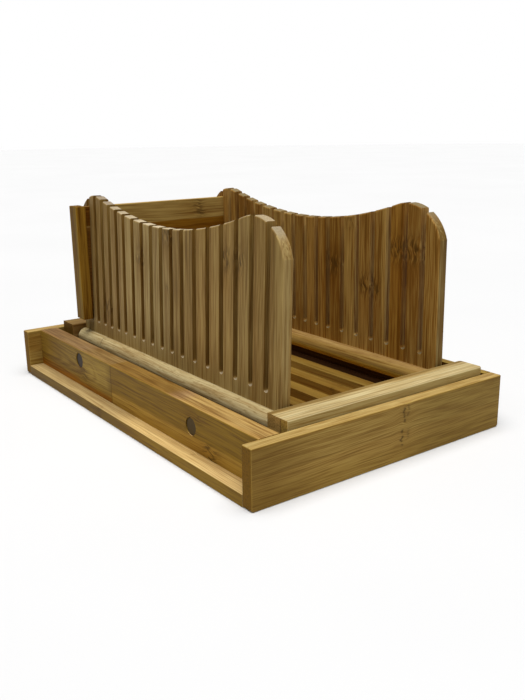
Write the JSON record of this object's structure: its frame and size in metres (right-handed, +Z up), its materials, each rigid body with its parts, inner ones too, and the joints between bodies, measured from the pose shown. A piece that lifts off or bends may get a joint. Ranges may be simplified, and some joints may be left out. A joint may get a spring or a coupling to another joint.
{
  "type": "bread slicer guide",
  "caption": "Bamboo bread slicer guide: two slotted folding walls and a lift-out back stop on a slatted deck, standing in a crumb tray with a magnetic knife shelf.",
  "frame": {"origin": "middle of the crumb tray's footprint, on the surface that it stands on", "axes": "+X along the loaf towards the thick-slice end, +Y away from the knife shelf, +Z up"},
  "size_m": [0.33, 0.2088, 0.1513],
  "materials": {
    "tray_bottom": "oiled bamboo, grain along the length",
    "tray_ends": "oiled bamboo, grain across the tray",
    "tray_sides": "oiled bamboo, grain along the length",
    "magnet": "dull nickel-plated disc",
    "frame_bars": "oiled bamboo",
    "deck_slats": "oiled bamboo",
    "pins": "plain steel",
    "rails": "turned and oiled bamboo",
    "walls": "oiled bamboo, grain upright",
    "stop_panel": "oiled bamboo, grain across",
    "stop_cleats": "oiled bamboo, grain upright"
  },
  "bodies": {
    "tray": {"tray_bottom_board": "tray_bottom", "tray_front_end_board": "tray_ends", "tray_rear_end_board": "tray_ends", "tray_side_board": "tray_sides", "knife_partition": "tray_sides", "knife_magnet_front": "magnet", "knife_magnet_rear": "magnet"},
    "slicer_frame": {"end_bar_front": "frame_bars", "end_bar_rear": "frame_bars", "deck_slat_1": "deck_slats", "deck_slat_2": "deck_slats", "deck_slat_3": "deck_slats", "deck_slat_4": "deck_slats", "deck_slat_5": "deck_slats", "near_hinge_pin_front": "pins", "near_hinge_pin_rear": "pins", "far_hinge_pin_front": "pins", "far_hinge_pin_rear": "pins"},
    "near_guide": {"near_rail": "rails", "near_wall": "walls"},
    "far_guide": {"far_rail": "rails", "far_wall": "walls"},
    "back_stop": {"stop_panel": "stop_panel", "stop_cleat_near": "stop_cleats", "stop_cleat_far": "stop_cleats"}
  },
  "joints": [
    {"name": "frame_lift", "type": "slide", "parent": "tray", "child": "slicer_frame", "axis": [0, 0, 1], "range_m": [0, 0.06]},
    {"name": "near_fold", "type": "hinge", "parent": "slicer_frame", "child": "near_guide", "pos_m": [0, -0.0617, 0.0321], "axis": [-1, 0, 0], "range_deg": [0, 88.07]},
    {"name": "far_fold", "type": "hinge", "parent": "slicer_frame", "child": "far_guide", "pos_m": [0, 0.07185, 0.0321], "axis": [1, 0, 0], "range_deg": [0, 89.32]},
    {"name": "stop_lift", "type": "slide", "parent": "slicer_frame", "child": "back_stop", "axis": [0, 0, 1], "range_m": [0, 0.135]}
  ]
}
